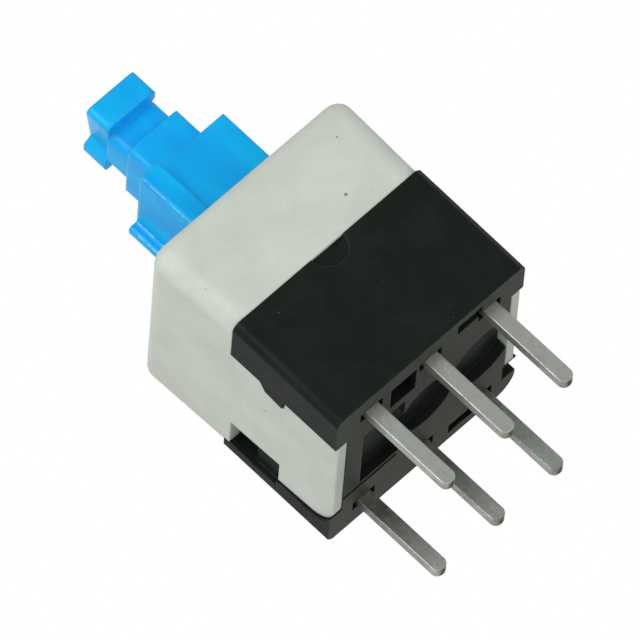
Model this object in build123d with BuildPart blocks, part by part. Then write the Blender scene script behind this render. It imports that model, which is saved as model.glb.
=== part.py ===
from build123d import *
import math
import os

os.makedirs("parts", exist_ok=True)

# Two-pole latching push button switch. The origin is the middle of the underside, +Z is the way the
# button comes out, X runs along the rows of pins and -Y is the front. All sizes are in millimetres.

# Body
body_x = 8.08  # the base, along the pin rows
body_y = 8.0  # across the pin rows
body_top = 8.2  # roof above the underside
split_z = 4.6  # where the base's long walls end and the housing's begin
wall = 0.85  # every side wall
roof_thickness = 0.9
floor_thickness = 1.0
front_draft = 0.1  # how far the base's front wall leans in at the underside
housing_foot_inset = 0.14  # the legs' feet inside the base's end faces
housing_roof_flare = 0.11  # the roof beyond the base's end faces, as the housing's ends lean out
housing_corner = 0.7  # upright edges of the housing
roof_edge = 0.5  # rounding round the roof
front_corner = 0.3  # the base's front left upright edge
rear_corner = 0.8  # its rear right upright edge
plain_corner = 0.2  # its other two upright edges

# Housing legs, which lie in channels on the base's end walls. Each is drawn as the left one is seen
# from the left, with y from front to rear, and the right one is the same turned half a turn.
leg_thickness = 0.35  # at the foot
leg_front = -2.12
leg_rear = 3.08  # below the rear catch
leg_shoulder = 2.08  # beside the rear catch
leg_foot = 0.9  # rounding of the rear foot corner
catch_low = 2.3  # where both catches hook under the leg's notches
catch_high = 3.35
catch_reach = 0.45  # the front catch beyond the leg's front edge
rear_strip = 0.6  # the plain strip behind the rear catch, at the end wall's outer face
rear_catch_inset = 0.22
notch_top = 4.38  # the housing's lower edge over the rear catch
catch_lip_share = 0.8  # the catch's sloped top, as a share of its reach
catch_lip_drop = 0.25
leg_clearance = 0.04

# Pins and fixed contacts
pin_pitch = 2.54
pin_length = 3.5  # below the underside
pin_width = 0.53
strip_thickness = 0.4
pin_tip_radius = 0.24
slot_clearance = 0.03
slot_relief_width = 0.95  # the wider mouth of each pin slot
slot_relief_depth = 0.45
blade_width = 0.8
blade_top = 4.35
blade_shoulder_gap = 0.3  # between the middle blade and the outer ones' arms
upper_arm_low = 3.35
lower_arm_low = 1.15
lower_arm_high = 2.75

# Button: the part that shows, from the tip down
button_top = 14.0
head_height = 0.95
head_x, head_y = 2.08, 2.72
head_groove_depth = 0.28  # a notch in each end: a long slope in from the front left and rear right
head_groove_y = 0.58  # its deepest point, from the middle
head_edge = 0.2  # corners of the head and the collar
neck_height = 0.95
neck_x, neck_y = 2.0, 1.72
neck_edge = 0.35
collar_height = 1.1
collar_x, collar_y = 2.14, 2.72
button_edge = 0.12
# The guided stem has a plan that is the same after half a turn, with its corners at these distances
stem_tab_x, stem_tab_in, stem_tab_y = 1.66, 0.85, 1.9
stem_wing_x, stem_wing_in, stem_wing_y = 2.0, 1.0, 1.42
stem_clearance = 0.1
# The carrier under the roof
carrier_bottom = 3.1
carrier_top_gap = 0.05  # under the roof, at rest
carrier_corner = 0.25
carrier_rib_length = 3.6
travel = 2.0
lock_travel = 1.5

# Moving contacts
clip_thickness = 0.1
clip_height = 0.7
clip_space = 0.65  # from the carrier's side to the fixed blades
contact_gap = 0.03
clip_rib = 0.33
clip_rib_reach = 0.4
clip_middle_z = 3.85
clip_clearance = 0.03
clip_crest_half = 0.12
clip_slope = 0.3
clip_foot = 0.3
clip_crest_offset = 0.5  # crests beyond the end of the blades' arms
clip_bend = 0.08

# Return spring
spring_wire = 0.24
spring_radius = 0.95  # to the middle of the wire
spring_turns = 7
spring_bore_clearance = 0.23
spring_bore_top = 6.7
spring_peg_gap = 0.15  # between the peg and the coils
spring_peg_height = 1.0

# Latch: a bent wire that swings on the base's right wall and follows a heart-shaped track
latch_wire = 0.3
latch_pivot_z = 1.6
latch_arm = 2.8
latch_bend = 0.25
latch_leaf_rise = 0.17
latch_leaf = 0.1
latch_leaf_width = 1.2
latch_leaf_low = 2.1
latch_leaf_straight = 0.3
latch_running = 0.025
track_depth = 0.5
track_clearance = 0.07
track_reach = 0.9  # the lanes' tops, to each side
track_dip = 0.03  # the inner lanes' fall from each top
track_lead = 0.3  # straight lead-in below the foot of the heart
pivot_clearance = 0.05
carrier_latch_gap = 0.075

# Underside
gate_radius = 0.68  # half-moon mark at the top of the front wall
gate_depth = 0.12
recess_depth = 0.4
right_recess = (2.4, 0.0, 1.42)  # x, y, radius
middle_recess = (0.0, 0.0, 1.2)
left_pocket = (-1.9, 0.05, 1.8, 3.1)  # x, y, width, depth
front_pocket = (-1.15, -2.5, 1.1, 1.2)
step_line = (-2.35, 1.78, 2.3, 0.16)
vent_x, vent_y, vent_wide, vent_deep = 1.68, 3.3, 1.05, 0.5
vent_height = 0.75
corner_notch = (3.75, 2.62, 0.6, 0.85)
corner_notch_depth = 0.6

# Worked out from the sizes above
housing_foot_x = body_x - 2 * housing_foot_inset
housing_roof_x = body_x + 2 * housing_roof_flare
spring_peg_radius = spring_radius - spring_wire / 2 - spring_peg_gap
cavity_x = body_x / 2 - wall
cavity_y = body_y / 2 - wall
roof_under = body_top - roof_thickness
leg_inner = housing_foot_x / 2 - leg_thickness
gap_rear = body_y / 2 - rear_strip
pin_row_y = cavity_y - strip_thickness / 2
blade_face = cavity_y - strip_thickness
carrier_top = roof_under - carrier_top_gap
carrier_y = blade_face - clip_space
latch_shaft_x = cavity_x - latch_leaf - latch_leaf_rise - latch_running - latch_wire / 2
carrier_x = latch_shaft_x - latch_wire / 2 - carrier_latch_gap
track_floor = carrier_x - track_depth
follower_z = latch_pivot_z + latch_arm
full_swing = math.asin(track_reach / latch_arm)
lane_top_z = latch_pivot_z + latch_arm * math.cos(full_swing) + travel
collar_low = button_top - head_height - neck_height - collar_height
front = Plane.XZ  # its X is the row's X and its Y is the height
left_end = Plane(origin=(0, 0, 0), x_dir=(0, 1, 0), z_dir=(1, 0, 0))
right_end = Plane(origin=(0, 0, 0), x_dir=(0, -1, 0), z_dir=(-1, 0, 0))


def save(piece, label):
    piece.label = label
    export_step(piece, f"parts/{label}.step")


def upright(block, x, y):
    """The upright edge of the block that is nearest to this corner."""
    return block.edges().sort_by_distance((x, y, split_z / 2))[0]


def half_turn_plan(half):
    """Draws these points and the same ones after half a turn, in the sketch that is open."""
    with BuildLine() as edge:
        Polyline(*half, *[(-x, -y) for x, y in half], close=True)
    make_face(edge.edges())


def stem_plan():
    """Draws the stem's plan in the sketch that is open."""
    half_turn_plan(
        [
            (-stem_tab_x, -stem_tab_y),
            (-stem_tab_in, -stem_tab_y),
            (-stem_tab_in, -stem_wing_y),
            (stem_wing_x, -stem_wing_y),
            (stem_wing_x, -stem_wing_in),
            (stem_tab_x, -stem_wing_in),
        ]
    )


def leg_plan(mode=Mode.ADD):
    """Draws one leg, seen from its own end, in the sketch that is open."""
    with BuildLine() as edge:
        CenterArc((leg_rear - leg_foot, leg_foot), leg_foot, 270, 90)
        Polyline(
            (leg_rear, leg_foot),
            (leg_rear, catch_low),
            (leg_shoulder, catch_low),
            (leg_shoulder, notch_top),
            (gap_rear, notch_top),
            (gap_rear, split_z),
            (leg_front, split_z),
            (leg_front, catch_high),
            (leg_front + catch_lip_share * catch_reach, catch_high - catch_lip_drop),
            (leg_front + catch_reach, catch_low),
            (leg_front, catch_low),
            (leg_front, 0),
            (leg_rear - leg_foot, 0),
        )
    make_face(edge.edges(), mode=mode)


# Base: a tray with four walls, channels for the legs and slots for the pins
with BuildPart() as base:
    with BuildSketch(left_end.offset(-body_x / 2)):
        with BuildLine():
            Polyline(
                (-body_y / 2 + front_draft, 0),
                (body_y / 2, 0),
                (body_y / 2, split_z),
                (-body_y / 2, split_z),
                close=True,
            )
        make_face()
    extrude(amount=body_x)
    fillet(upright(base, -body_x, -body_y), front_corner)
    fillet(upright(base, body_x, body_y), rear_corner)
    chamfer((upright(base, -body_x, body_y), upright(base, body_x, -body_y)), plain_corner)
    with BuildSketch(Plane.XY.offset(floor_thickness)):
        Rectangle(2 * cavity_x, 2 * cavity_y)
    extrude(amount=split_z - floor_thickness, mode=Mode.SUBTRACT)
    for end in (left_end, right_end):
        with BuildSketch(end.offset(-leg_inner + leg_clearance)):
            leg_plan()
            offset(amount=leg_clearance, kind=Kind.INTERSECTION)
        extrude(amount=-wall, mode=Mode.SUBTRACT)
        # the deeper gap above the rear catch, and the catch's own face behind the end wall's
        with BuildSketch(end.offset(-leg_inner + leg_clearance)):
            with Locations(((leg_shoulder + gap_rear) / 2, (catch_high + split_z) / 2)):
                Rectangle(gap_rear - leg_shoulder, split_z - catch_high)
        extrude(amount=-wall, mode=Mode.SUBTRACT)
        with BuildSketch(end.offset(-body_x / 2 + rear_catch_inset)):
            with Locations(((leg_shoulder + gap_rear) / 2, (catch_low + catch_high) / 2)):
                Rectangle(gap_rear - leg_shoulder, catch_high - catch_low)
        extrude(amount=-wall, mode=Mode.SUBTRACT)
    # spring peg
    with BuildSketch(Plane.XY.offset(floor_thickness)):
        Circle(spring_peg_radius)
    extrude(amount=spring_peg_height)
    # hole for the latch wire's lower end, through the right wall
    with BuildSketch(Plane.YZ.offset(cavity_x - latch_leaf)):
        with Locations((0, latch_pivot_z)):
            Circle(latch_wire / 2 + pivot_clearance)
    extrude(amount=wall, mode=Mode.SUBTRACT)
    # pin slots: snug above, with a wider mouth at the underside
    slots = GridLocations(pin_pitch, 2 * pin_row_y, 3, 2)
    with BuildSketch():
        with slots:
            Rectangle(pin_width + 2 * slot_clearance, strip_thickness + 2 * slot_clearance)
    extrude(amount=floor_thickness, mode=Mode.SUBTRACT)
    with BuildSketch():
        with slots:
            Rectangle(slot_relief_width, strip_thickness + 2 * slot_clearance)
    extrude(amount=slot_relief_depth, mode=Mode.SUBTRACT)
    # moulded recesses in the underside
    with BuildSketch():
        for x, y, radius in (right_recess, middle_recess):
            with Locations((x, y)):
                Circle(radius)
        for x, y, wide, deep in (left_pocket, front_pocket, step_line):
            with Locations((x, y)):
                Rectangle(wide, deep)
    extrude(amount=recess_depth, mode=Mode.SUBTRACT)
    with BuildSketch():
        with Locations((vent_x, -vent_y), (vent_x, vent_y)):
            Rectangle(vent_wide, vent_deep)
    extrude(amount=vent_height, mode=Mode.SUBTRACT)
    with BuildSketch():
        with Locations((corner_notch[0], corner_notch[1])):
            Rectangle(corner_notch[2], corner_notch[3])
    extrude(amount=corner_notch_depth, mode=Mode.SUBTRACT)
    # half-moon mark where the front wall meets the housing
    with BuildSketch(front.offset(body_y / 2 - gate_depth)):
        with Locations((0, split_z)):
            Circle(gate_radius)
    extrude(amount=gate_depth, mode=Mode.SUBTRACT)
save(base.part, "base")

# Housing: roof, four short walls and two legs
with BuildPart() as housing:
    with BuildSketch(front.offset(-body_y / 2)):
        with BuildLine():
            Polyline(
                (-housing_foot_x / 2, 0),
                (housing_foot_x / 2, 0),
                (housing_roof_x / 2, body_top),
                (-housing_roof_x / 2, body_top),
                close=True,
            )
        make_face()
    extrude(amount=body_y)
    uprights = housing.edges().filter_by(lambda edge: abs(edge.center().Z - body_top / 2) < 0.1)
    fillet(uprights, housing_corner)
    fillet(housing.faces().sort_by(Axis.Z)[-1].edges(), roof_edge)
    with BuildSketch(Plane.XY.offset(split_z)):
        Rectangle(2 * cavity_x, 2 * cavity_y)
    extrude(amount=roof_under - split_z, mode=Mode.SUBTRACT)
    with BuildSketch(Plane.XY.offset(roof_under)):
        stem_plan()
        offset(amount=stem_clearance, kind=Kind.INTERSECTION)
    extrude(amount=roof_thickness, mode=Mode.SUBTRACT)
    # below the split only the two legs are left
    with BuildSketch():
        Rectangle(2 * leg_inner, 2 * body_y)
    extrude(amount=split_z, mode=Mode.SUBTRACT)
    for end in (left_end, right_end):
        with BuildSketch(end.offset(-leg_inner)):
            with Locations((0, split_z / 2)):
                Rectangle(2 * body_y, split_z)
            leg_plan(Mode.SUBTRACT)
        extrude(amount=-body_x / 4, mode=Mode.SUBTRACT)
save(housing.part, "housing")

# Button: head, neck, collar, guided stem and the carrier inside
with BuildPart() as plunger:
    with BuildSketch(Plane.XY.offset(carrier_bottom)) as carrier_plan:
        Rectangle(2 * carrier_x, 2 * carrier_y)
        fillet(carrier_plan.vertices(), carrier_corner)
    extrude(amount=carrier_top - carrier_bottom)
    clip_low = clip_middle_z - clip_height / 2 - clip_clearance
    clip_high = clip_middle_z + clip_height / 2 + clip_clearance
    for rib_low in (clip_low - clip_rib, clip_high):
        with BuildSketch(Plane.XY.offset(rib_low)):
            Rectangle(carrier_rib_length, 2 * (carrier_y + clip_rib_reach))
        extrude(amount=clip_rib)
    with BuildSketch(Plane.XY.offset(carrier_top)) as stem:
        stem_plan()
        fillet(stem.vertices(), button_edge)
    extrude(amount=collar_low - carrier_top)
    with BuildSketch(Plane.XY.offset(collar_low)):
        RectangleRounded(collar_x, collar_y, head_edge)
    extrude(amount=collar_height)
    with BuildSketch(Plane.XY.offset(collar_low + collar_height)):
        RectangleRounded(neck_x, neck_y, neck_edge)
    extrude(amount=neck_height)
    with BuildSketch(Plane.XY.offset(button_top - head_height)) as head_plan:
        half_turn_plan(
            [
                (head_x / 2, -head_y / 2),
                (-head_x / 2, -head_y / 2),
                (-head_x / 2 + head_groove_depth, head_groove_y),
                (-head_x / 2, head_groove_y + head_groove_depth),
            ]
        )
        corners = head_plan.vertices().filter_by(lambda vertex: abs(vertex.Y) > head_y / 2 - head_edge)
        fillet(corners, head_edge)
    extrude(amount=head_height)
    # bore for the return spring
    with BuildSketch(Plane.XY.offset(carrier_bottom - clip_rib)):
        Circle(spring_radius + spring_wire / 2 + spring_bore_clearance)
    extrude(amount=spring_bore_top - carrier_bottom + clip_rib, mode=Mode.SUBTRACT)
    # heart-shaped track on the right side
    lock_z = follower_z + lock_travel
    with BuildSketch(Plane.YZ.offset(track_floor)):
        with BuildLine() as heart:
            Polyline(
                (0, follower_z),
                (track_reach, lane_top_z),
                (track_reach / 2, lane_top_z - track_dip),
                (0, lock_z),
                (-track_reach / 2, lane_top_z - track_dip),
                (-track_reach, lane_top_z),
                (0, follower_z),
            )
            Line((0, follower_z - track_lead), (0, follower_z))
        trace(line_width=latch_wire + 2 * track_clearance)
    extrude(amount=2 * track_depth, mode=Mode.SUBTRACT)
save(plunger.part, "plunger")


# Fixed contacts: one strip each, pin below and blade above
def terminal(x, arm_low, arm_high, arm_end):
    """One terminal of the front row. Its arm runs from its own blade to arm_end."""
    with BuildPart() as strip:
        with BuildSketch(front.offset(blade_face)) as outline:
            with Locations((x, (floor_thickness - pin_length) / 2)):
                Rectangle(pin_width, floor_thickness + pin_length)
            fillet(outline.vertices().group_by(Axis.Z)[0], pin_tip_radius)
            with Locations((x, (floor_thickness + arm_high) / 2)):
                Rectangle(blade_width, arm_high - floor_thickness)
            if arm_end != x:
                with Locations(((x + arm_end) / 2, (arm_low + arm_high) / 2)):
                    Rectangle(abs(x - arm_end), arm_high - arm_low)
        extrude(amount=strip_thickness)
    return strip.part


arm_end = blade_width / 2 + blade_shoulder_gap
upper = terminal(-pin_pitch, upper_arm_low, blade_top, -arm_end)
common = terminal(0, floor_thickness, blade_top, 0)
lower = terminal(pin_pitch, lower_arm_low, lower_arm_high, arm_end)
for kind, strip in (("upper", upper), ("common", common), ("lower", lower)):
    save(strip, f"front_{kind}_terminal")
    save(strip.rotate(Axis.Z, 180), f"rear_{kind}_terminal")

# Moving contacts: a wavy strip with three crests, one for each fixed blade
with BuildPart() as front_clip:
    valley = -(carrier_y + clip_thickness / 2)
    crest = -(blade_face - contact_gap - clip_thickness / 2)
    outer_crest = arm_end + clip_crest_offset
    clip_end = outer_crest + clip_crest_half + clip_slope + clip_foot
    wave = [(-clip_end, valley)]
    for middle in (-outer_crest, 0, outer_crest):
        wave += [
            (middle - clip_crest_half - clip_slope, valley),
            (middle - clip_crest_half, crest),
            (middle + clip_crest_half, crest),
            (middle + clip_crest_half + clip_slope, valley),
        ]
    wave += [(clip_end, valley)]
    with BuildSketch(Plane.XY.offset(clip_middle_z - clip_height / 2)):
        with BuildLine():
            FilletPolyline(*wave, radius=clip_bend)
        trace(line_width=clip_thickness)
    extrude(amount=clip_height)
save(front_clip.part, "front_contact_clip")
save(front_clip.part.rotate(Axis.Z, 180), "rear_contact_clip")

# Return spring
with BuildPart() as return_spring:
    spring_low = floor_thickness + spring_wire / 2
    spring_height = spring_bore_top - floor_thickness - spring_wire
    with BuildLine() as coil:
        Helix(
            pitch=spring_height / spring_turns,
            height=spring_height,
            radius=spring_radius,
            center=(0, 0, spring_low),
        )
    with BuildSketch(coil.line ^ 0):
        Circle(spring_wire / 2)
    sweep(is_frenet=True)
save(return_spring.part, "return_spring")

# Latch wire, at rest at the foot of the heart
with BuildPart() as latch_pin:
    with BuildLine() as bend:
        FilletPolyline(
            (leg_inner - 2 * leg_clearance, 0, latch_pivot_z),
            (latch_shaft_x, 0, latch_pivot_z),
            (latch_shaft_x, 0, follower_z),
            (track_floor + pivot_clearance, 0, follower_z),
            radius=latch_bend,
        )
    with BuildSketch(bend.line ^ 0):
        Circle(latch_wire / 2)
    sweep()
save(latch_pin.part, "latch_pin")

# Leaf that keeps the latch wire in the track
with BuildPart() as latch_spring:
    leaf_x = cavity_x - latch_leaf / 2
    leaf_high = 2 * follower_z - latch_leaf_low
    with BuildSketch(Plane.XZ.offset(-latch_leaf_width / 2)):
        with BuildLine():
            Line((leaf_x, roof_under - carrier_top_gap), (leaf_x, leaf_high - latch_leaf_straight))
            ThreePointArc(
                (leaf_x, leaf_high - latch_leaf_straight),
                (leaf_x - latch_leaf_rise, follower_z),
                (leaf_x, latch_leaf_low + latch_leaf_straight),
            )
            Line((leaf_x, latch_leaf_low + latch_leaf_straight), (leaf_x, latch_leaf_low))
        trace(line_width=latch_leaf)
    extrude(amount=latch_leaf_width)
save(latch_spring.part, "latch_spring")
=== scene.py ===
import math

import bmesh
import bpy
from mathutils import Matrix, Vector


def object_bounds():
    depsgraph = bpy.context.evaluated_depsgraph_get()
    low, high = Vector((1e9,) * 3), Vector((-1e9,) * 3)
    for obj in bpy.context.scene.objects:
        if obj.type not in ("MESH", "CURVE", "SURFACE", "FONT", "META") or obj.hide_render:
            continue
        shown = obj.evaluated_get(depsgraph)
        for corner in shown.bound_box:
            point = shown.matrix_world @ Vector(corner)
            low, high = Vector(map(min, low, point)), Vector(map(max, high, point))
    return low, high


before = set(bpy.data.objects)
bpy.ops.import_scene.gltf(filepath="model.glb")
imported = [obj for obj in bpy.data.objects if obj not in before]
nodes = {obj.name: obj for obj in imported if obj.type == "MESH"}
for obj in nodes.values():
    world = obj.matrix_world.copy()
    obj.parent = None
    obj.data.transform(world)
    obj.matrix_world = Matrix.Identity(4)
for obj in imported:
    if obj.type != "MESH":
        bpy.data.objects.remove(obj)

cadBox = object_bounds()
mm = 0.001
scene = bpy.context.scene
terminalNames = [
    f"{row}_{kind}_terminal"
    for row in ("front", "rear")
    for kind in ("upper", "common", "lower")
]
clipNames = ["front_contact_clip", "rear_contact_clip"]
print("frame loaded, nodes:", len(nodes))


# The camera looks up at the switch from its front left, from far off with a long lens.
cameraLook = {
    "aim": (-0.3403, 0.0251, 4.3184),  # mm
    "forward": (0.34944, 0.88636, 0.30375),
    "up": (0.60907, -0.46123, 0.64521),
    "frameWidth": 19.716,  # mm across the picture, at the aim
    "lens": 1200.0,
    "sensor": 36.0,
    "clip": (0.1, 20),  # shares of the distance
}


def makeCamera(look):
    data = bpy.data.cameras.new("camera")
    data.lens = look["lens"]
    data.sensor_width = look["sensor"]
    distance = look["frameWidth"] * mm * look["lens"] / look["sensor"]
    data.clip_start = distance * look["clip"][0]
    data.clip_end = distance * look["clip"][1]
    camera = bpy.data.objects.new("camera", data)
    scene.collection.objects.link(camera)
    forward = Vector(look["forward"]).normalized()
    up = Vector(look["up"]).normalized()
    right = forward.cross(up)
    turn = Matrix((right, up, -forward)).transposed().to_4x4()
    camera.matrix_world = Matrix.Translation(Vector(look["aim"]) * mm - forward * distance) @ turn
    scene.camera = camera


# Small helpers that the materials share. Every texture place is in millimetres of the object.
def addNode(tree, kind, inputs=None, **settings):
    node = tree.nodes.new("ShaderNode" + kind)
    for key, value in settings.items():
        setattr(node, key, value)
    for key, value in (inputs or {}).items():
        if isinstance(value, bpy.types.NodeSocket):
            tree.links.new(value, node.inputs[key])
        else:
            node.inputs[key].default_value = value
    return node


def tint(red, green, blue):  # 0 to 255 as the eye sees it, to the light that Blender counts
    def toLight(value):
        value /= 255
        return value / 12.92 if value <= 0.04045 else ((value + 0.055) / 1.055) ** 2.4

    return (toLight(red), toLight(green), toLight(blue), 1)


def place(tree, stretch=(1, 1, 1), shift=(0, 0, 0)):
    coords = addNode(tree, "TexCoord")
    scaled = addNode(
        tree,
        "VectorMath",
        {0: coords.outputs["Object"], 1: tuple(s / mm for s in stretch), 2: shift},
        operation="MULTIPLY_ADD",
    )
    return scaled.outputs[0]


def noise(tree, where, scale, detail=3.0, roughness=0.5, distortion=0.0):
    values = {
        "Vector": where,
        "Scale": scale,
        "Detail": detail,
        "Roughness": roughness,
        "Distortion": distortion,
    }
    return addNode(tree, "TexNoise", values).outputs["Fac"]


def spread(tree, value, low, high, toLow=0.0, toHigh=1.0, smooth=False):
    kind = "SMOOTHSTEP" if smooth else "LINEAR"
    values = {"Value": value, "From Min": low, "From Max": high, "To Min": toLow, "To Max": toHigh}
    return addNode(tree, "MapRange", values, interpolation_type=kind).outputs["Result"]


def sums(tree, operation, first, second):
    return addNode(tree, "Math", {0: first, 1: second}, operation=operation).outputs[0]


def times(tree, first, second):
    return sums(tree, "MULTIPLY", first, second)


def alike(tree, first, second):  # 1 where two directions agree
    node = addNode(tree, "VectorMath", {0: first, 1: second}, operation="DOT_PRODUCT")
    return node.outputs["Value"]


def blendColor(tree, amount, first, second):
    node = addNode(tree, "Mix", {0: amount, 6: first, 7: second}, data_type="RGBA")
    return node.outputs[2]


def coat(tree, mask, share, color, over):  # a share of one colour laid over another, where the mask is
    return blendColor(tree, times(tree, mask, share), color, tint(*over))


def rounded(tree, width):  # makes the sharp edges catch the light as rounded ones do
    return addNode(tree, "Bevel", {"Radius": width * mm}, samples=8).outputs["Normal"]


def raised(tree, height, strength, depth, under):
    values = {"Height": height, "Strength": strength, "Distance": depth * mm, "Normal": under}
    return addNode(tree, "Bump", values).outputs["Normal"]


def edgeMask(tree, width, low=0.02, high=0.35):  # 1 along the sharp edges, 0 on the flats
    soft = addNode(tree, "Bevel", {"Radius": width * mm}, samples=6)
    flat = addNode(tree, "NewGeometry")
    near = alike(tree, soft.outputs["Normal"], flat.outputs["Normal"])
    return spread(tree, near, 1 - low, 1 - high)


def specks(tree, where, scale, size, share, core=0.55):  # scattered round dots, on a share of the cells
    cells = addNode(tree, "TexVoronoi", {"Vector": where, "Scale": scale}, feature="F1")
    dot = spread(tree, cells.outputs["Distance"], size, size * core)
    chance = addNode(tree, "SeparateColor", {0: cells.outputs["Color"]})
    return times(tree, dot, sums(tree, "LESS_THAN", chance.outputs[0], share))


def spotAt(tree, where, point, radius, core=0.5):  # one round dot at a point of the object
    reach = addNode(tree, "VectorMath", {0: where, 1: point}, operation="DISTANCE")
    return spread(tree, reach.outputs["Value"], radius, radius * core)


def startMaterial(name):
    material = bpy.data.materials.new(name)
    material.use_nodes = True
    tree = material.node_tree
    tree.nodes.clear()
    shader = addNode(tree, "BsdfPrincipled")
    out = addNode(tree, "OutputMaterial")
    tree.links.new(shader.outputs[0], out.inputs["Surface"])
    return material, tree, shader


def setShader(tree, shader, **values):
    for key, value in values.items():
        socket = shader.inputs[key.replace("_", " ")]
        if isinstance(value, bpy.types.NodeSocket):
            tree.links.new(value, socket)
        else:
            socket.default_value = value


noiseSpan = (0.3, 0.7)  # where most of a noise's values lie


# The pale cap: matt moulded nylon with a fine grain, faint flow clouds and a few trapped specks.
# In every look, a noise is: scale to the mm, detail, roughness, distortion. A bump is: strength, depth in mm.
# A range is: from low, from high, to low, to high. Scattered specks are: scale to the mm, size, share of the cells.
capLook = {
    "color": (214, 220, 211),
    "cloudColor": (203, 209, 199),
    "grainColor": (150, 156, 146),
    "edgeHighlightColor": (222, 226, 219),
    "speckColor": (92, 92, 84),
    "clouds": (0.55, 4, 0.6, 0.4),
    "cloudRange": (0.35, 0.7),
    "grain": (11.0, 3, 0.55),
    "grainRange": (0.3, 0.7, 0.0, 0.09),
    "grainBump": (0.55, 0.006),
    "ripple": (1.7, 2, 0.5),
    "rippleBump": (0.25, 0.03),
    "edgeHighlightWidth": 0.10,  # mm, the painted highlight along the edges
    "edgeHighlightShare": 0.5,
    "dust": (1.35, 0.055, 0.16),
    "dustShare": 0.35,
    "specks": [  # place and radius in mm
        ((1.70, -4.0, 5.49), 0.075),
        ((-3.98, -0.55, 3.02), 0.05),
        ((2.9, -4.0, 7.1), 0.04),
    ],
    "speckShare": 0.8,
    "roughness": (0.50, 0.62),
    "edge": 0.10,  # mm
    "glow": 0.10,
    "glowReach": 0.5,  # mm
    "glowColor": (1.0, 0.95, 0.85),
    "shine": 0.35,
}


def makeCapPlastic(look):
    material, tree, shader = startMaterial("paleNylon")
    where = place(tree)
    clouds = noise(tree, where, *look["clouds"])
    grain = noise(tree, where, *look["grain"])
    ripple = noise(tree, where, *look["ripple"])
    cloudy = spread(tree, clouds, *look["cloudRange"])
    color = blendColor(tree, cloudy, tint(*look["color"]), tint(*look["cloudColor"]))
    grainy = spread(tree, grain, *look["grainRange"])
    color = blendColor(tree, grainy, color, tint(*look["grainColor"]))
    # painted highlight: a paler line laid along the edges
    color = coat(tree, edgeMask(tree, look["edgeHighlightWidth"]), look["edgeHighlightShare"], color, look["edgeHighlightColor"])
    dust = specks(tree, where, *look["dust"])
    color = coat(tree, dust, look["dustShare"], color, look["speckColor"])
    for point, radius in look["specks"]:
        dot = spotAt(tree, where, point, radius)
        color = coat(tree, dot, look["speckShare"], color, look["speckColor"])
    normal = raised(tree, grain, *look["grainBump"], rounded(tree, look["edge"]))
    normal = raised(tree, ripple, *look["rippleBump"], normal)
    setShader(
        tree,
        shader,
        Base_Color=color,
        Roughness=spread(tree, ripple, *noiseSpan, *look["roughness"]),
        Normal=normal,
        Subsurface_Weight=look["glow"],
        Subsurface_Scale=look["glowReach"] * mm,
        Subsurface_Radius=look["glowColor"],
        Specular_IOR_Level=look["shine"],
    )
    return material


# The black base: glass-filled resin, satin, with a fine grit, a patchy painted highlight along the edges and a
# painted sheen on the underside.
baseLook = {
    "color": (20, 26, 22),
    "greyColor": (42, 47, 43),
    "undersideSheenColor": (66, 70, 64),
    "dustColor": (78, 68, 60),
    "edgeHighlightColor": (92, 97, 93),
    "lintColor": (150, 152, 146),
    "grit": (13.0, 4, 0.6),
    "gritBump": (0.6, 0.010),
    "patches": (0.8, 4, 0.6, 0.5),
    "patchRange": (0.42, 0.75, 0, 0.35),
    "patchBump": (0.3, 0.04),
    "fibres": (1.0, 3, 0.6),
    "fibreStretch": (7, 7, 0.9),
    "fibreShift": (3, 1, 5),
    "fibreRange": (0.62, 0.8, 0, 0.45),
    "scratches": (1.0, 2, 0.5),
    "scratchStretch": (1.2, 1.2, 16),
    "scratchShift": (0, 4, 2),
    "scratchBump": (0.30, 0.004),
    "underFacing": (-0.6, -0.95),  # how far down a face looks before it counts as underneath
    "undersideSheenShare": 0.8,
    "rearBand": (1.70, 1.80),  # mm along Y, where the browner dust starts
    "sunkFrom": (0.10, 0.15),  # mm along Z, where the sunk floors start
    "recessShare": 0.12,  # how much of the painted underside sheen the sunk floors keep
    "dustRange": (0.3, 0.6, 0.35, 0.8),
    "dustShare": 0.5,
    "patchyHighlightWidth": 0.07,  # mm, the patchy painted highlight along the edges
    "highlightPatches": (3.1, 3),
    "highlightPatchRange": (0.35, 0.65, 0.15, 0.8),
    "lint": (2.6, 0.06, 0.10),
    "lintShare": 0.4,
    "roughness": (0.36, 0.56),
    "edge": 0.05,  # mm
    "shine": 0.14,
}


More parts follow.
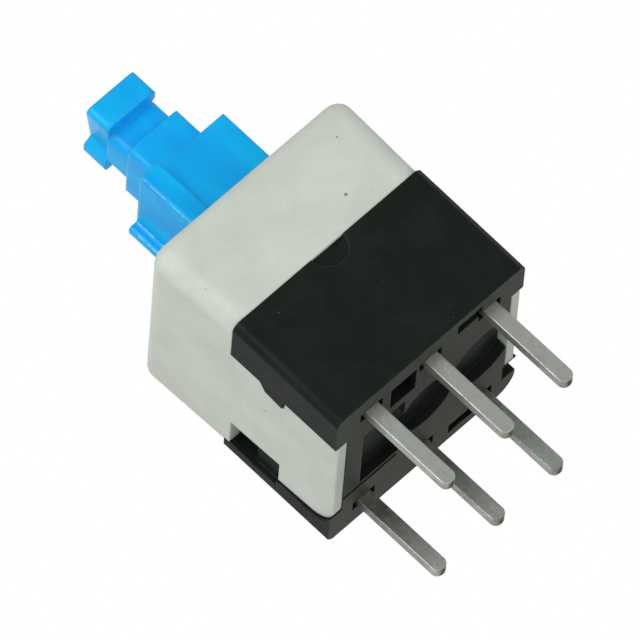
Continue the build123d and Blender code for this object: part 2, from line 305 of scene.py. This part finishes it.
def makeBasePlastic(look):
    material, tree, shader = startMaterial("blackResin")
    where = place(tree)
    grit = noise(tree, where, *look["grit"])
    patches = noise(tree, where, *look["patches"])
    patchy = spread(tree, patches, *look["patchRange"])
    color = blendColor(tree, patchy, tint(*look["color"]), tint(*look["greyColor"]))
    fibres = noise(tree, place(tree, look["fibreStretch"], look["fibreShift"]), *look["fibres"])
    fibrous = spread(tree, fibres, *look["fibreRange"])
    color = blendColor(tree, fibrous, color, tint(*look["greyColor"]))
    # the faces that look down get a painted sheen, a lighter grey that the sunk floors mostly miss, and the
    # underside's rear band gets browner dust
    facing = addNode(tree, "SeparateXYZ", {0: addNode(tree, "NewGeometry").outputs["True Normal"]})
    under = spread(tree, facing.outputs["Z"], *look["underFacing"])
    spot = addNode(tree, "SeparateXYZ", {0: where})
    rearBand = spread(tree, spot.outputs["Y"], *look["rearBand"])
    sunk = spread(tree, spot.outputs["Z"], *look["sunkFrom"])
    under = times(tree, under, spread(tree, sunk, 0, 1, 1, look["recessShare"]))
    dusty = times(tree, times(tree, under, rearBand), spread(tree, patches, *look["dustRange"]))
    # painted sheen on the faces that look down
    color = coat(tree, under, look["undersideSheenShare"], color, look["undersideSheenColor"])
    color = coat(tree, dusty, look["dustShare"], color, look["dustColor"])
    highlightPatches = spread(tree, noise(tree, where, *look["highlightPatches"]), *look["highlightPatchRange"])
    # patchy painted highlight along the edges
    color = coat(tree, edgeMask(tree, look["patchyHighlightWidth"]), highlightPatches, color, look["edgeHighlightColor"])
    lint = specks(tree, where, *look["lint"])
    color = coat(tree, lint, look["lintShare"], color, look["lintColor"])
    scratches = noise(tree, place(tree, look["scratchStretch"], look["scratchShift"]), *look["scratches"])
    normal = raised(tree, grit, *look["gritBump"], rounded(tree, look["edge"]))
    normal = raised(tree, scratches, *look["scratchBump"], normal)
    normal = raised(tree, patches, *look["patchBump"], normal)
    setShader(
        tree,
        shader,
        Base_Color=color,
        Roughness=spread(tree, grit, *noiseSpan, *look["roughness"]),
        Normal=normal,
        Specular_IOR_Level=look["shine"],
    )
    return material


# The blue button: glossy acetal that lets a little light through.
buttonLook = {
    "color": (2, 190, 254),
    "deepColor": (0, 164, 244),
    "paleHighlightColor": (140, 222, 252),
    "speckColor": (200, 230, 245),
    "flow": (0.9, 4, 0.55, 0.6),
    "flowStretch": (1, 1, 0.35),
    "flowRange": (0.35, 0.7),
    "grain": (15.0, 3, 0.6),
    "grainBump": (0.30, 0.004),
    "drag": (1.0, 2, 0.5),  # faint lines where it left the mould
    "dragStretch": (14, 14, 0.6),
    "dragBump": (0.25, 0.004),
    "edgeHighlightWidth": 0.09,  # mm, the painted highlight along the edges
    "edgeHighlightShare": 0.12,
    "specks": (2.1, 0.05, 0.1),
    "speckShare": 0.35,
    "glint": (226, 246, 255),
    "glintFrom": 1.45,  # mm from the middle, along X
    "glintFade": 0.05,  # mm
    "glintFacing": (-0.707, -0.707, 0.0),  # the rounded edges that catch the light
    "glintTurn": (0.975, 0.995),
    "glintShare": 0.85,
    "sparkle": (5.5, 3, 0.6),
    "sparkleRange": (0.42, 0.55),
    "roughness": (0.30, 0.42),
    "edge": 0.14,  # mm
    "glow": 0.18,
    "glowReach": 0.6,  # mm
    "glowColor": (0.25, 0.7, 1.0),
    "shine": 0.28,
}


def makeButtonPlastic(look):
    material, tree, shader = startMaterial("blueAcetal")
    where = place(tree)
    flow = noise(tree, place(tree, look["flowStretch"]), *look["flow"])
    grain = noise(tree, where, *look["grain"])
    flowing = spread(tree, flow, *look["flowRange"])
    color = blendColor(tree, flowing, tint(*look["color"]), tint(*look["deepColor"]))
    # painted highlight: a pale line laid along the edges
    color = coat(tree, edgeMask(tree, look["edgeHighlightWidth"]), look["edgeHighlightShare"], color, look["paleHighlightColor"])
    dust = specks(tree, where, *look["specks"])
    color = coat(tree, dust, look["speckShare"], color, look["speckColor"])
    spot = addNode(tree, "SeparateXYZ", {0: where})
    glintEnd = look["glintFrom"] + look["glintFade"]
    outer = spread(tree, sums(tree, "ABSOLUTE", spot.outputs["X"], 0), look["glintFrom"], glintEnd)
    sparkle = spread(tree, noise(tree, where, *look["sparkle"]), *look["sparkleRange"])
    facing = addNode(tree, "NewGeometry").outputs["Normal"]
    crest = spread(tree, alike(tree, facing, look["glintFacing"]), *look["glintTurn"])
    glint = times(tree, times(tree, outer, crest), sparkle)
    color = coat(tree, glint, look["glintShare"], color, look["glint"])
    drag = noise(tree, place(tree, look["dragStretch"]), *look["drag"])
    normal = raised(tree, grain, *look["grainBump"], rounded(tree, look["edge"]))
    normal = raised(tree, drag, *look["dragBump"], normal)
    setShader(
        tree,
        shader,
        Base_Color=color,
        Roughness=spread(tree, grain, *noiseSpan, *look["roughness"]),
        Normal=normal,
        Subsurface_Weight=look["glow"],
        Subsurface_Scale=look["glowReach"] * mm,
        Subsurface_Radius=look["glowColor"],
        Specular_IOR_Level=look["shine"],
    )
    return material


# The pins: stamped brass strip under dull tin, with rolling lines along the pin, a painted highlight along the
# edges and a painted dark reflection on the rear row.
pinLook = {
    "color": (224, 227, 219),
    "dullColor": (186, 190, 181),
    "warmColor": (176, 168, 150),
    "darkReflectionColor": (104, 110, 102),
    "edgeGlintColor": (252, 252, 249),
    "pitColor": (96, 95, 90),
    "rolling": (1.0, 3, 0.6),
    "rollingStretch": (16.0, 16.0, 0.8),  # lines to the mm
    "rollingRange": (0.55, 0.75, 0, 0.35),
    "rollingBump": (0.4, 0.006),
    "bloom": (2.3, 5, 0.65, 0.4),
    "bloomRange": (0.35, 0.68),
    "bloomBump": (0.35, 0.02),
    "pits": (6.0, 0.10, 0.22),
    "pitShare": 0.55,
    "pitBump": (-0.5, 0.01),
    "rootFrom": (-0.9, -0.1),  # mm along Z
    "rootRange": (0.35, 0.6, 0.2, 0.8),
    "rootShare": 0.5,
    "edgeGlintWidth": 0.035,  # mm, the painted highlight along the edges
    "edgeGlintPatches": (4.2, 3),
    "edgeGlintRange": (0.35, 0.6, 0.35, 1),
    "rearFrom": (2.4, 2.6),  # mm along Y, only the rear row gets the painted dark reflection
    "darkReflectionFrom": (-3.3, -0.8),  # mm along Z, the painted dark reflection grows towards the root
    "darkReflectionNoise": (7.5, 4, 0.7),
    "darkReflectionRange": (0.3, 0.6, 0.55, 1),
    "darkReflectionShare": 0.75,
    "roughness": (0.26, 0.46),
    "edge": 0.06,  # mm
    "metal": 0.92,
}


def makeTin(look):
    material, tree, shader = startMaterial("dullTin")
    where = place(tree)
    rolling = noise(tree, place(tree, look["rollingStretch"]), *look["rolling"])
    bloom = noise(tree, where, *look["bloom"])
    pits = specks(tree, where, *look["pits"])
    blooming = spread(tree, bloom, *look["bloomRange"])
    color = blendColor(tree, blooming, tint(*look["color"]), tint(*look["dullColor"]))
    rolled = spread(tree, rolling, *look["rollingRange"])
    color = blendColor(tree, rolled, color, tint(*look["dullColor"]))
    color = coat(tree, pits, look["pitShare"], color, look["pitColor"])
    spot = addNode(tree, "SeparateXYZ", {0: where})
    height = spot.outputs["Z"]
    root = spread(tree, height, *look["rootFrom"])
    root = times(tree, root, spread(tree, bloom, *look["rootRange"]))
    color = coat(tree, root, look["rootShare"], color, look["warmColor"])
    # painted dark reflection on the rear row, darker towards the root
    rearRow = spread(tree, spot.outputs["Y"], *look["rearFrom"])
    rearRow = times(tree, rearRow, spread(tree, height, *look["darkReflectionFrom"]))
    stainAndDarkReflection = spread(tree, noise(tree, where, *look["darkReflectionNoise"]), *look["darkReflectionRange"])
    color = coat(tree, times(tree, rearRow, stainAndDarkReflection), look["darkReflectionShare"], color, look["darkReflectionColor"])
    # painted highlight along the edges, patchy
    edgeGlintPatches = spread(tree, noise(tree, where, *look["edgeGlintPatches"]), *look["edgeGlintRange"])
    color = coat(tree, edgeMask(tree, look["edgeGlintWidth"]), edgeGlintPatches, color, look["edgeGlintColor"])
    normal = raised(tree, rolling, *look["rollingBump"], rounded(tree, look["edge"]))
    normal = raised(tree, bloom, *look["bloomBump"], normal)
    normal = raised(tree, pits, *look["pitBump"], normal)
    rough = spread(tree, bloom, *noiseSpan, *look["roughness"])
    setShader(tree, shader, Base_Color=color, Roughness=rough, Normal=normal, Metallic=look["metal"])
    return material


# Bright strip and wire inside.
innerLook = {
    "bronze": (206, 160, 98),
    "bronzeDark": (150, 104, 60),
    "bronzeStretch": (0.8, 12, 12),
    "steel": (176, 176, 172),
    "steelDark": (112, 112, 110),
    "steelStretch": (12, 12, 1.5),
    "edgeHighlightColor": (236, 230, 216),
    "lines": (1.0, 3, 0.6),
    "lineBump": (0.35, 0.004),
    "stainAndDarkReflection": (2.8, 4, 0.6, 0.5),
    "stainRange": (0.45, 0.75, 0, 0.6),
    "edgeHighlightWidth": 0.03,  # mm, the painted highlight along the edges
    "edgeHighlightShare": 0.4,
    "roughness": (0.18, 0.34),
    "edge": 0.03,  # mm
}


def makeStrip(name, metal, look):
    material, tree, shader = startMaterial(name)
    lines = noise(tree, place(tree, look[metal + "Stretch"]), *look["lines"])
    stainAndDarkReflection = noise(tree, place(tree), *look["stainAndDarkReflection"])
    stained = spread(tree, stainAndDarkReflection, *look["stainRange"])
    color = blendColor(tree, stained, tint(*look[metal]), tint(*look[metal + "Dark"]))
    # painted highlight along the edges
    color = coat(tree, edgeMask(tree, look["edgeHighlightWidth"]), look["edgeHighlightShare"], color, look["edgeHighlightColor"])
    normal = raised(tree, lines, *look["lineBump"], rounded(tree, look["edge"]))
    rough = spread(tree, stainAndDarkReflection, *noiseSpan, *look["roughness"])
    setShader(tree, shader, Base_Color=color, Roughness=rough, Normal=normal, Metallic=1.0)
    return material


# Finer edges on the parts themselves, in mm.
edgeLook = {
    "housing": 0.07,
    "base": 0.045,
    "plunger": 0.11,
    "terminal": 0.045,
    "segments": 3,
    "angle": 32,  # degrees
    "weld": 0.0005,
}


def softenEdges(piece, width, look):
    weld = piece.modifiers.new("weld", "WELD")
    weld.merge_threshold = look["weld"] * mm
    bevel = piece.modifiers.new("softEdge", "BEVEL")
    bevel.width = width * mm
    bevel.segments = look["segments"]
    bevel.limit_method = "ANGLE"
    bevel.angle_limit = math.radians(look["angle"])
    bevel.use_clamp_overlap = True
    bevel.harden_normals = False
    bevel.miter_outer = "MITER_ARC"


def dress(piece, material):
    piece.data.materials.clear()
    piece.data.materials.append(material)


# The floor is pale and only shows from above, so that it never hides the switch from below.
floorLook = {"color": (236, 236, 234), "size": 260.0}  # mm


def makeFloor(look):
    shape = bmesh.new()
    bmesh.ops.create_grid(shape, x_segments=1, y_segments=1, size=look["size"] / 2 * mm)
    mesh = bpy.data.meshes.new("floor")
    shape.to_mesh(mesh)
    shape.free()
    floor = bpy.data.objects.new("floor", mesh)
    floor.location.z = cadBox[0].z
    scene.collection.objects.link(floor)
    material = bpy.data.materials.new("paleFloor")
    material.use_nodes = True
    tree = material.node_tree
    tree.nodes.clear()
    top = addNode(tree, "BsdfDiffuse", {"Color": tint(*look["color"])})
    clear = addNode(tree, "BsdfTransparent")
    side = addNode(tree, "NewGeometry").outputs["Backfacing"]
    path = addNode(tree, "LightPath").outputs["Is Shadow Ray"]
    hidden = sums(tree, "MAXIMUM", side, path)
    pick = addNode(tree, "MixShader", {0: hidden, 1: top.outputs[0], 2: clear.outputs[0]})
    out = addNode(tree, "OutputMaterial")
    tree.links.new(pick.outputs[0], out.inputs["Surface"])
    mesh.materials.append(material)


# Soft light: an even pale tent, dim behind the lens, with broad lamps on the camera's side.
lightLook = {
    "tentColor": (0.50, 0.51, 0.50),
    "dimColor": (0.30, 0.31, 0.31),
    "dimToward": (0.34, -0.89, 0.29),
    "dimRange": (0.4, 1.0),
    "background": (1, 1, 1),
    "lamps": {  # place mm, aim mm, size mm, watts
        "keyLamp": ((-50, -100, 60), (0, 0, 4), 90, 0.060),
        "sideLamp": ((-90, -20, -10), (0, 0, 4), 70, 0.013),
        "lowLamp": ((30, -90, -50), (0, 0, 2), 70, 0.020),
        "backLamp": ((20, 90, 60), (0, 0, 5), 80, 0.016),
    },
}


def makeLight(look):
    world = bpy.data.worlds.new("tent")
    scene.world = world
    world.use_nodes = True
    tree = world.node_tree
    tree.nodes.clear()
    way = addNode(tree, "TexCoord").outputs["Generated"]
    dim = spread(tree, alike(tree, way, look["dimToward"]), *look["dimRange"], smooth=True)
    sky = blendColor(tree, dim, (*look["tentColor"], 1), (*look["dimColor"], 1))
    tent = addNode(tree, "Background", {"Color": sky})
    white = addNode(tree, "Background", {"Color": (*look["background"], 1)})
    seen = addNode(tree, "LightPath").outputs["Is Camera Ray"]
    pick = addNode(tree, "MixShader", {0: seen, 1: tent.outputs[0], 2: white.outputs[0]})
    out = addNode(tree, "OutputWorld")
    tree.links.new(pick.outputs[0], out.inputs["Surface"])
    for name, (where, aim, size, watts) in look["lamps"].items():
        data = bpy.data.lights.new(name, "AREA")
        data.shape = "DISK"
        data.size = size * mm
        data.energy = watts
        lamp = bpy.data.objects.new(name, data)
        lamp.location = Vector(where) * mm
        lamp.rotation_mode = "QUATERNION"
        lamp.rotation_quaternion = (Vector(aim) - Vector(where)).to_track_quat("-Z", "Y")
        scene.collection.objects.link(lamp)


makeCamera(cameraLook)
makeLight(lightLook)
makeFloor(floorLook)
print("camera, light and floor made")

cap = makeCapPlastic(capLook)
resin = makeBasePlastic(baseLook)
acetal = makeButtonPlastic(buttonLook)
tin = makeTin(pinLook)
bronze = makeStrip("bronzeStrip", "bronze", innerLook)
steel = makeStrip("springSteel", "steel", innerLook)
print("materials made")

for name, material in (("housing", cap), ("base", resin), ("plunger", acetal)):
    dress(nodes[name], material)
    softenEdges(nodes[name], edgeLook[name], edgeLook)
for name in terminalNames:
    dress(nodes[name], tin)
    softenEdges(nodes[name], edgeLook["terminal"], edgeLook)
for name in clipNames:
    dress(nodes[name], bronze)
for name in ("return_spring", "latch_pin", "latch_spring"):
    dress(nodes[name], steel)
print("parts dressed")

scene.view_settings.view_transform = "Standard"
